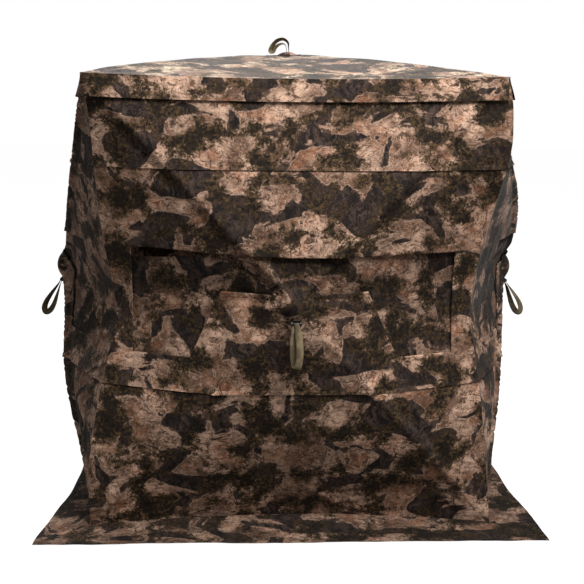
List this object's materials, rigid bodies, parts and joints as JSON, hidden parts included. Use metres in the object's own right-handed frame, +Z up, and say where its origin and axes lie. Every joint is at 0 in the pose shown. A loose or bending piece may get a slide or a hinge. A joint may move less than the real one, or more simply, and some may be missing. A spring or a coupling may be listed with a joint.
{
  "type": "pop up ground blind",
  "caption": "Hub-style pop up ground blind: camouflage cloth cabin on sprung poles with a push-in hub in each wall and the roof, windows, ground skirt and pull loops.",
  "frame": {"origin": "bottom centre of the whole part, on the ground in the middle of the cabin", "axes": "+Z up, -Y out through the front window, +X to the right as seen from the front"},
  "size_m": [2.017, 2.017, 1.7785],
  "materials": {
    "camo_cloth": "matte",
    "camo_skirt": "matte",
    "camo_curtain": "matte",
    "dark_trim": "matte",
    "webbing": "matte",
    "hub_plastic": "satin",
    "fibreglass": "satin",
    "steel": "satin"
  },
  "bodies": {
    "root": {"curtain_front": "camo_curtain", "curtain_left": "camo_curtain", "curtain_right": "camo_curtain", "door_panel": "camo_cloth", "door_zips": "dark_trim", "eave_valance": "camo_cloth", "ground_skirt": "camo_skirt", "pockets_high": "dark_trim", "pockets_low": "dark_trim", "roof_cloth": "camo_cloth", "seam_tapes": "dark_trim", "stake_eyelets": "steel", "wall_back": "camo_cloth", "wall_front": "camo_cloth", "wall_left": "camo_cloth", "wall_right": "camo_cloth", "window_hems": "dark_trim"},
    "hub_front": {"hub_front_body": "hub_plastic", "hub_front_cap": "hub_plastic", "hub_front_fasteners": "steel"},
    "pole_front_high_left": {"pole_front_high_left": "fibreglass"},
    "pole_front_high_right": {"pole_front_high_right": "fibreglass"},
    "pole_front_low_left": {"pole_front_low_left": "fibreglass"},
    "pole_front_low_right": {"pole_front_low_right": "fibreglass"},
    "pull_loop_front": {"pull_loop_front": "webbing"},
    "hub_right": {"hub_right_body": "hub_plastic", "hub_right_cap": "hub_plastic", "hub_right_fasteners": "steel"},
    "pole_right_high_left": {"pole_right_high_left": "fibreglass"},
    "pole_right_high_right": {"pole_right_high_right": "fibreglass"},
    "pole_right_low_left": {"pole_right_low_left": "fibreglass"},
    "pole_right_low_right": {"pole_right_low_right": "fibreglass"},
    "pull_loop_right": {"pull_loop_right": "webbing"},
    "hub_back": {"hub_back_body": "hub_plastic", "hub_back_cap": "hub_plastic", "hub_back_fasteners": "steel"},
    "pole_back_high_left": {"pole_back_high_left": "fibreglass"},
    "pole_back_high_right": {"pole_back_high_right": "fibreglass"},
    "pole_back_low_left": {"pole_back_low_left": "fibreglass"},
    "pole_back_low_right": {"pole_back_low_right": "fibreglass"},
    "pull_loop_back": {"pull_loop_back": "webbing"},
    "hub_left": {"hub_left_body": "hub_plastic", "hub_left_cap": "hub_plastic", "hub_left_fasteners": "steel"},
    "pole_left_high_left": {"pole_left_high_left": "fibreglass"},
    "pole_left_high_right": {"pole_left_high_right": "fibreglass"},
    "pole_left_low_left": {"pole_left_low_left": "fibreglass"},
    "pole_left_low_right": {"pole_left_low_right": "fibreglass"},
    "pull_loop_left": {"pull_loop_left": "webbing"},
    "hub_roof": {"hub_roof_body": "hub_plastic", "hub_roof_cap": "hub_plastic", "hub_roof_fasteners": "steel"},
    "pole_roof_front_right": {"pole_roof_front_right": "fibreglass"},
    "pole_roof_back_right": {"pole_roof_back_right": "fibreglass"},
    "pole_roof_back_left": {"pole_roof_back_left": "fibreglass"},
    "pole_roof_front_left": {"pole_roof_front_left": "fibreglass"},
    "pull_loop_roof": {"pull_loop_roof": "webbing"},
    "zip_slider_high": {"zip_slider_high": "steel"},
    "zip_slider_low": {"zip_slider_low": "steel"}
  },
  "joints": [
    {"name": "hub_front_push", "type": "slide", "parent": "root", "child": "hub_front", "axis": [0, 1, 0], "range_m": [0, 0.324], "deforming": ["wall_front", "curtain_front", "seam_tapes", "window_hems", "eave_valance", "pockets_high", "pockets_low"]},
    {"name": "pole_front_high_left_pivot", "type": "hinge", "parent": "hub_front", "child": "pole_front_high_left", "pos_m": [-0.03103, -0.882, 0.88759], "axis": [0.7243, 0, 0.6895], "range_deg": [0, 19.12]},
    {"name": "pole_front_high_right_pivot", "type": "hinge", "parent": "hub_front", "child": "pole_front_high_right", "pos_m": [0.03103, -0.882, 0.88759], "axis": [0.7243, 0, -0.6895], "range_deg": [0, 19.12]},
    {"name": "pole_front_low_left_pivot", "type": "hinge", "parent": "hub_front", "child": "pole_front_low_left", "pos_m": [-0.02903, -0.882, 0.82062], "axis": [-0.764, 0, 0.6452], "range_deg": [0, 17.86]},
    {"name": "pole_front_low_right_pivot", "type": "hinge", "parent": "hub_front", "child": "pole_front_low_right", "pos_m": [0.02903, -0.882, 0.82062], "axis": [-0.764, 0, -0.6452], "range_deg": [0, 17.86]},
    {"name": "pull_loop_front_swing", "type": "hinge", "parent": "hub_front", "child": "pull_loop_front", "pos_m": [0, -0.929, 0.793], "axis": [-1, 0, 0], "range_deg": [-20, 95]},
    {"name": "hub_right_push", "type": "slide", "parent": "root", "child": "hub_right", "axis": [-1, 0, 0], "range_m": [0, 0.324], "deforming": ["wall_right", "curtain_right"]},
    {"name": "pole_right_high_left_pivot", "type": "hinge", "parent": "hub_right", "child": "pole_right_high_left", "pos_m": [0.882, -0.03103, 0.88759], "axis": [0, 0.7243, 0.6895], "range_deg": [0, 19.12]},
    {"name": "pole_right_high_right_pivot", "type": "hinge", "parent": "hub_right", "child": "pole_right_high_right", "pos_m": [0.882, 0.03103, 0.88759], "axis": [0, 0.7243, -0.6895], "range_deg": [0, 19.12]},
    {"name": "pole_right_low_left_pivot", "type": "hinge", "parent": "hub_right", "child": "pole_right_low_left", "pos_m": [0.882, -0.02903, 0.82062], "axis": [0, -0.764, 0.6452], "range_deg": [0, 17.86]},
    {"name": "pole_right_low_right_pivot", "type": "hinge", "parent": "hub_right", "child": "pole_right_low_right", "pos_m": [0.882, 0.02903, 0.82062], "axis": [0, -0.764, -0.6452], "range_deg": [0, 17.86]},
    {"name": "pull_loop_right_swing", "type": "hinge", "parent": "hub_right", "child": "pull_loop_right", "pos_m": [0.929, 0, 0.793], "axis": [0, -1, 0], "range_deg": [-20, 95]},
    {"name": "hub_back_push", "type": "slide", "parent": "root", "child": "hub_back", "axis": [0, -1, 0], "range_m": [0, 0.324], "deforming": ["wall_back", "door_panel", "door_zips"]},
    {"name": "pole_back_high_left_pivot", "type": "hinge", "parent": "hub_back", "child": "pole_back_high_left", "pos_m": [0.03103, 0.882, 0.88759], "axis": [-0.7243, 0, 0.6895], "range_deg": [0, 19.12]},
    {"name": "pole_back_high_right_pivot", "type": "hinge", "parent": "hub_back", "child": "pole_back_high_right", "pos_m": [-0.03103, 0.882, 0.88759], "axis": [-0.7243, 0, -0.6895], "range_deg": [0, 19.12]},
    {"name": "pole_back_low_left_pivot", "type": "hinge", "parent": "hub_back", "child": "pole_back_low_left", "pos_m": [0.02903, 0.882, 0.82062], "axis": [0.764, 0, 0.6452], "range_deg": [0, 17.86]},
    {"name": "pole_back_low_right_pivot", "type": "hinge", "parent": "hub_back", "child": "pole_back_low_right", "pos_m": [-0.02903, 0.882, 0.82062], "axis": [0.764, 0, -0.6452], "range_deg": [0, 17.86]},
    {"name": "pull_loop_back_swing", "type": "hinge", "parent": "hub_back", "child": "pull_loop_back", "pos_m": [0, 0.929, 0.793], "axis": [1, 0, 0], "range_deg": [-20, 95]},
    {"name": "hub_left_push", "type": "slide", "parent": "root", "child": "hub_left", "axis": [1, 0, 0], "range_m": [0, 0.324], "deforming": ["wall_left", "curtain_left"]},
    {"name": "pole_left_high_left_pivot", "type": "hinge", "parent": "hub_left", "child": "pole_left_high_left", "pos_m": [-0.882, 0.03103, 0.88759], "axis": [0, -0.7243, 0.6895], "range_deg": [0, 19.12]},
    {"name": "pole_left_high_right_pivot", "type": "hinge", "parent": "hub_left", "child": "pole_left_high_right", "pos_m": [-0.882, -0.03103, 0.88759], "axis": [0, -0.7243, -0.6895], "range_deg": [0, 19.12]},
    {"name": "pole_left_low_left_pivot", "type": "hinge", "parent": "hub_left", "child": "pole_left_low_left", "pos_m": [-0.882, 0.02903, 0.82062], "axis": [0, 0.764, 0.6452], "range_deg": [0, 17.86]},
    {"name": "pole_left_low_right_pivot", "type": "hinge", "parent": "hub_left", "child": "pole_left_low_right", "pos_m": [-0.882, -0.02903, 0.82062], "axis": [0, 0.764, -0.6452], "range_deg": [0, 17.86]},
    {"name": "pull_loop_left_swing", "type": "hinge", "parent": "hub_left", "child": "pull_loop_left", "pos_m": [-0.929, 0, 0.793], "axis": [0, 1, 0], "range_deg": [-20, 95]},
    {"name": "hub_roof_push", "type": "slide", "parent": "root", "child": "hub_roof", "axis": [0, 0, -1], "range_m": [0, 0.12], "deforming": ["roof_cloth"]},
    {"name": "pole_roof_front_right_pivot", "type": "hinge", "parent": "hub_roof", "child": "pole_roof_front_right", "pos_m": [0.03182, -0.03182, 1.663], "axis": [-0.7071, -0.7071, 0], "range_deg": [0, 7.4]},
    {"name": "pole_roof_back_right_pivot", "type": "hinge", "parent": "hub_roof", "child": "pole_roof_back_right", "pos_m": [0.03182, 0.03182, 1.663], "axis": [0.7071, -0.7071, 0], "range_deg": [0, 7.4]},
    {"name": "pole_roof_back_left_pivot", "type": "hinge", "parent": "hub_roof", "child": "pole_roof_back_left", "pos_m": [-0.03182, 0.03182, 1.663], "axis": [0.7071, 0.7071, 0], "range_deg": [0, 7.4]},
    {"name": "pole_roof_front_left_pivot", "type": "hinge", "parent": "hub_roof", "child": "pole_roof_front_left", "pos_m": [-0.03182, -0.03182, 1.663], "axis": [-0.7071, 0.7071, 0], "range_deg": [0, 7.4]},
    {"name": "pull_loop_roof_swing", "type": "hinge", "parent": "hub_roof", "child": "pull_loop_roof", "pos_m": [0, -0.062, 1.71], "axis": [0, 1, 0], "range_deg": [-5, 75]},
    {"name": "zip_slider_high_run", "type": "slide", "parent": "pole_back_high_right", "child": "zip_slider_high", "axis": [0.6797, 0.1757, -0.7121], "range_m": [0, 0.8]},
    {"name": "zip_slider_low_run", "type": "slide", "parent": "pole_back_low_right", "child": "zip_slider_low", "axis": [0.6428, 0.1662, 0.7478], "range_m": [0, 0.92]}
  ],
  "couplings": [
    {"joint": "pole_front_high_left_pivot", "follows": "hub_front_push", "rad_per_m": 1.0289},
    {"joint": "pole_front_high_right_pivot", "follows": "hub_front_push", "rad_per_m": 1.0289},
    {"joint": "pole_front_low_left_pivot", "follows": "hub_front_push", "rad_per_m": 0.96097},
    {"joint": "pole_front_low_right_pivot", "follows": "hub_front_push", "rad_per_m": 0.96097},
    {"joint": "pole_right_high_left_pivot", "follows": "hub_right_push", "rad_per_m": 1.0289},
    {"joint": "pole_right_high_right_pivot", "follows": "hub_right_push", "rad_per_m": 1.0289},
    {"joint": "pole_right_low_left_pivot", "follows": "hub_right_push", "rad_per_m": 0.96097},
    {"joint": "pole_right_low_right_pivot", "follows": "hub_right_push", "rad_per_m": 0.96097},
    {"joint": "pole_back_high_left_pivot", "follows": "hub_back_push", "rad_per_m": 1.0289},
    {"joint": "pole_back_high_right_pivot", "follows": "hub_back_push", "rad_per_m": 1.0289},
    {"joint": "pole_back_low_left_pivot", "follows": "hub_back_push", "rad_per_m": 0.96097},
    {"joint": "pole_back_low_right_pivot", "follows": "hub_back_push", "rad_per_m": 0.96097},
    {"joint": "pole_left_high_left_pivot", "follows": "hub_left_push", "rad_per_m": 1.0289},
    {"joint": "pole_left_high_right_pivot", "follows": "hub_left_push", "rad_per_m": 1.0289},
    {"joint": "pole_left_low_left_pivot", "follows": "hub_left_push", "rad_per_m": 0.96097},
    {"joint": "pole_left_low_right_pivot", "follows": "hub_left_push", "rad_per_m": 0.96097},
    {"joint": "pole_roof_front_right_pivot", "follows": "hub_roof_push", "rad_per_m": 1.0729},
    {"joint": "pole_roof_back_right_pivot", "follows": "hub_roof_push", "rad_per_m": 1.0729},
    {"joint": "pole_roof_back_left_pivot", "follows": "hub_roof_push", "rad_per_m": 1.0729},
    {"joint": "pole_roof_front_left_pivot", "follows": "hub_roof_push", "rad_per_m": 1.0729}
  ]
}
